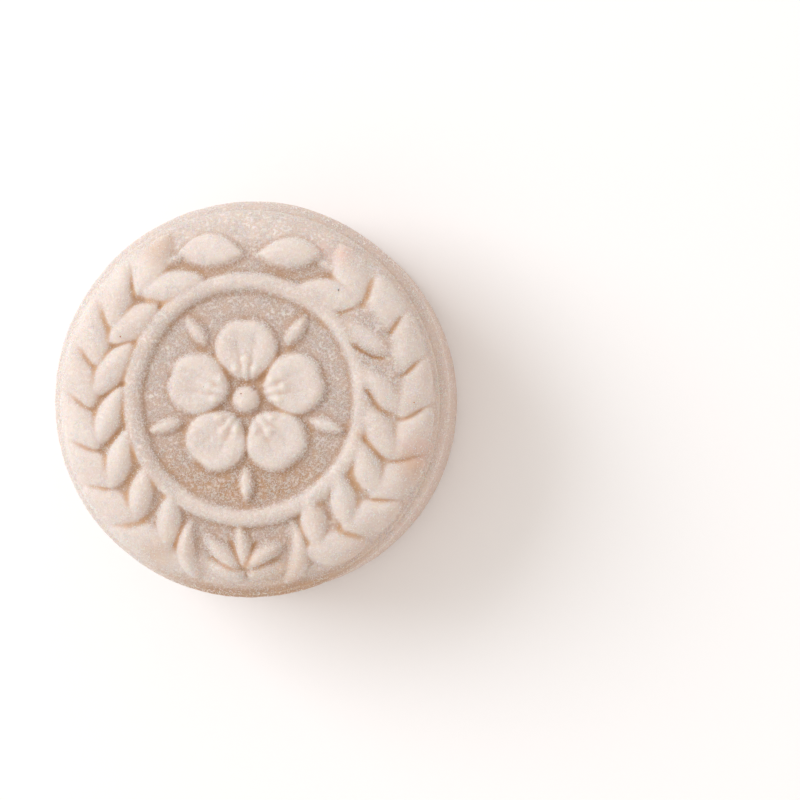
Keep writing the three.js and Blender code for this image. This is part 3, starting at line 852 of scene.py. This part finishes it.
# What tints the skin, in the order in which it is laid on: the value per point, how strong, and the colour.
# Blush and tan are stains; the others are painted shade.
TINTS = (
    ("beside", 0.7, (192, 148, 111)),
    ("cavity_shade", 0.4, (198, 154, 108)),
    ("wall", 0.85, (207, 177, 161)),
    ("painted_rim_shade", 0.8, (184, 140, 104)),
    ("blush", 0.42, (230, 184, 167)),
    ("tan", 0.38, (204, 166, 132)),
    ("crease", 0.65, (219, 174, 128)),
)


def tone(red, green, blue):
    """A colour given as screen values from 0 to 255, in the linear values that shaders use."""
    share = np.array([red, green, blue]) / 255
    linear = np.where(share <= 0.04045, share / 12.92, ((share + 0.055) / 1.055) ** 2.4)
    return (*linear.tolist(), 1.0)


class Value:
    """The output of a shader node. Arithmetic on it adds Math nodes."""

    def __init__(self, material, socket):
        self.material = material
        self.socket = socket

    def _math(self, operation, *terms):
        return self.material.node("ShaderNodeMath", {"operation": operation}, dict(enumerate(terms)))

    def __add__(self, other):
        return self._math("ADD", self, other)

    def __rsub__(self, other):
        return self._math("SUBTRACT", other, self)

    def __sub__(self, other):
        return self._math("SUBTRACT", self, other)

    def __mul__(self, other):
        return self._math("MULTIPLY", self, other)

    def ramp(self, low_edge, high_edge):
        """0 below low_edge, 1 above high_edge, smooth between them."""
        settings = {"interpolation_type": "SMOOTHSTEP"}
        return self.material.node("ShaderNodeMapRange", settings, {0: self, 1: low_edge, 2: high_edge})


class Material:
    """A node material with one Principled shader."""

    def __init__(self, name):
        self.data = bpy.data.materials.new(name)
        self.data.use_nodes = True
        self.tree = self.data.node_tree
        self.shader = self.tree.nodes["Principled BSDF"]
        self.position = self.node("ShaderNodeTexCoord", output="Object")

    def node(self, kind, settings=None, inputs=None, output=0):
        """Adds a node, sets it up, fills its sockets with numbers, colours or Values, and returns an
        output."""
        made = self.tree.nodes.new(kind)
        for key, value in (settings or {}).items():
            setattr(made, key, value)
        self.fill(made, inputs or {})
        return Value(self, made.outputs[output])

    def fill(self, node, inputs):
        """Sets or links a node's sockets."""
        for key, value in inputs.items():
            if isinstance(value, Value):
                self.tree.links.new(value.socket, node.inputs[key])
            else:
                node.inputs[key].default_value = value

    def finish(self, **inputs):
        """Sets the shader's sockets, an underscore standing for a space."""
        self.fill(self.shader, {key.replace("_", " "): value for key, value in inputs.items()})
        return self.data

    def noise(self, size, detail, roughness=0.5):
        """Noise whose features are about `size` millimetres across."""
        sockets = dict(Vector=self.position, Scale=1 / (size * MM), Detail=detail, Roughness=roughness)
        return self.node("ShaderNodeTexNoise", {}, sockets)

    def attribute(self, name):
        """A number that the mesh carries per point."""
        return self.node("ShaderNodeAttribute", {"attribute_name": name}, output="Fac")

    def mix(self, share, a, b):
        """Colour a turning into colour b as share goes from 0 to 1."""
        return self.node("ShaderNodeMix", {"data_type": "RGBA"}, {0: share, 6: a, 7: b}, output=2)


def skin_material():
    """Pale rice-flour skin: cream on the raised pattern, tan and full of whitish grains on its floor, and
    painted shade in a warmer tan in the grooves, creases and hollows, beside raised pieces, on the wall and
    the front lower edge, and on the front of the floor inside the ring. A fine powder lies over everything."""
    m = Material("pastry_skin")
    pale = m.attribute("pale")
    grain = m.attribute("grain")
    painted_floor_shade = m.attribute("painted_floor_shade")
    mottle = m.noise(7, 3).ramp(0.35, 0.65)
    patches = m.noise(1.6, 2).ramp(0.35, 0.65)
    clumps = m.noise(0.42, 3, 0.75) + patches * 0.05
    powder = m.noise(0.2, 2, 0.7)
    whitish = clumps.ramp(0.48, 0.65)

    raised = m.mix(mottle, tone(230, 217, 208), tone(224, 208, 198))
    dusted = m.mix(whitish * 0.38, raised, tone(243, 238, 234))
    floor = m.mix(pale, tone(205, 180, 164), tone(227, 207, 194))
    # Painted shade: the front of the floor inside the ring darker and warmer, with fewer flecks.
    floor = m.mix(painted_floor_shade * 0.85, floor, tone(192, 150, 113))
    flecks = m.mix(pale, tone(240, 229, 222), tone(255, 249, 245))
    fleck_share = 0.88 - pale * 0.16 - painted_floor_shade * 0.3
    colour = m.mix(grain, dusted, m.mix(whitish * fleck_share, floor, flecks))
    # Painted shade and stains, as TINTS lists.
    for name, strength, tint in TINTS:
        colour = m.mix(m.attribute(name) * strength, colour, tone(*tint))
    powder_share = 0.36 - m.attribute("painted_rim_shade") * 0.2
    colour = m.mix(powder.ramp(0.55, 0.68) * powder_share, colour, tone(246, 243, 240))

    height = whitish * (grain * 0.6 + 0.4) + powder * 0.4
    bump = m.node("ShaderNodeBump", {}, {"Strength": 0.7, "Distance": 0.08 * MM, "Height": height}, "Normal")
    return m.finish(
        Base_Color=colour, Roughness=0.6 - whitish * 0.15, Normal=bump, Subsurface_Weight=0.65,
        Subsurface_Radius=(1.0, 0.72, 0.42), Subsurface_Scale=1.6 * MM, Specular_IOR_Level=0.25,
    )


def crystal_material():
    """Rice-flour crystals: whitish, a little glossier than the skin they stick to, and duller on the
    floor."""
    m = Material("rice_crystals")
    colour = m.mix(m.attribute("grain"), tone(246, 242, 238), tone(238, 227, 220))
    return m.finish(Base_Color=colour, Roughness=0.4, Subsurface_Weight=0.2, Subsurface_Scale=0.3 * MM)


def bran_material():
    """Specks of bran, from greyish brown to amber."""
    m = Material("bran")
    colour = m.mix(m.attribute("amber"), tone(112, 92, 82), tone(206, 130, 62))
    return m.finish(Base_Color=colour, Roughness=0.6)


def floor_material():
    """Plain pale paint."""
    return Material("pale_floor").finish(Base_Color=tone(254, 254, 254), Roughness=0.9)


# ---------------------------------------------------------------- the stage

FLOOR_HALF = 1500.0
TARGET = Vector((0, 0, 14 * MM))
VIEW_TILT = 7.1  # degrees from straight above
VIEW_SIDE = -12.0  # direction of that tilt, from +X
VIEW_DISTANCE = 0.35
PICTURE = 800
TARGET_PIXEL = (257.8, 399.9)
PIXELS_PER_MM = 7.77  # at the target
SENSOR = 36
KEY = dict(place=(-0.69, 0.33, 0.72), size=0.66, watts=5.55, colour=(0.935, 0.978, 1.045))  # in metres
SURROUND_COLOUR = (1.0, 0.938, 0.89, 1)
SURROUND_STRENGTH = 0.785


def make_floor():
    """A wide square under the cake."""
    half = FLOOR_HALF
    corners = np.array([(-half, -half, 0), (half, -half, 0), (half, half, 0), (-half, half, 0)])
    mesh = bpy.data.meshes.new("floor")
    mesh.from_pydata((corners * MM).tolist(), [], [(0, 1, 2, 3)])
    mesh.materials.append(floor_material())
    floor = bpy.data.objects.new("floor", mesh)
    bpy.context.scene.collection.objects.link(floor)


def make_camera():
    """A long lens that looks down on the face, with the cake in the left half of the picture."""
    tilt, side = math.radians(VIEW_TILT), math.radians(VIEW_SIDE)
    away = Vector((math.sin(tilt) * math.cos(side), math.sin(tilt) * math.sin(side), math.cos(tilt)))
    right = (-away).cross(Vector((0, 1, 0))).normalized()
    up = right.cross(-away)
    place = TARGET + away * VIEW_DISTANCE
    across = (PICTURE / 2 - TARGET_PIXEL[0]) / PIXELS_PER_MM * MM
    down = (PICTURE / 2 - TARGET_PIXEL[1]) / PIXELS_PER_MM * MM
    forward = (TARGET + right * across - up * down - place).normalized()
    right = forward.cross(up).normalized()
    up = right.cross(forward)
    camera = bpy.data.cameras.new("camera")
    camera.sensor_width = SENSOR
    camera.lens = PIXELS_PER_MM * VIEW_DISTANCE / MM * camera.sensor_width / PICTURE
    camera.clip_start = 0.01
    holder = bpy.data.objects.new("camera", camera)
    turn = Matrix((right, up, -forward)).transposed().to_4x4()
    holder.matrix_world = Matrix.Translation(place) @ turn
    bpy.context.scene.collection.objects.link(holder)
    bpy.context.scene.camera = holder


def area_light(name, place, size, watts, colour):
    """A square light at a place in metres, turned towards the cake."""
    light = bpy.data.lights.new(name, "AREA")
    light.size = size
    light.energy = watts
    light.color = colour
    holder = bpy.data.objects.new(name, light)
    holder.location = place
    holder.rotation_euler = (TARGET - Vector(place)).to_track_quat("-Z", "Y").to_euler()
    bpy.context.scene.collection.objects.link(holder)


def make_lights():
    """A soft key from the upper left of the picture, and an even pale surround."""
    area_light("key", **KEY)
    world = bpy.data.worlds.new("surround")
    world.use_nodes = True
    background = world.node_tree.nodes["Background"]
    background.inputs["Color"].default_value = SURROUND_COLOUR
    background.inputs["Strength"].default_value = SURROUND_STRENGTH
    bpy.context.scene.world = world
    bpy.context.scene.view_settings.view_transform = "Standard"


# ---------------------------------------------------------------- putting it together

make_camera()
make_lights()
make_floor()

points, quads, base, values = skin()
cake = make_mesh("cake_skin", points, quads.tolist() + base.tolist(), skin_material(), values)
strew_everything(points, quads, values)
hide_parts(NODE)
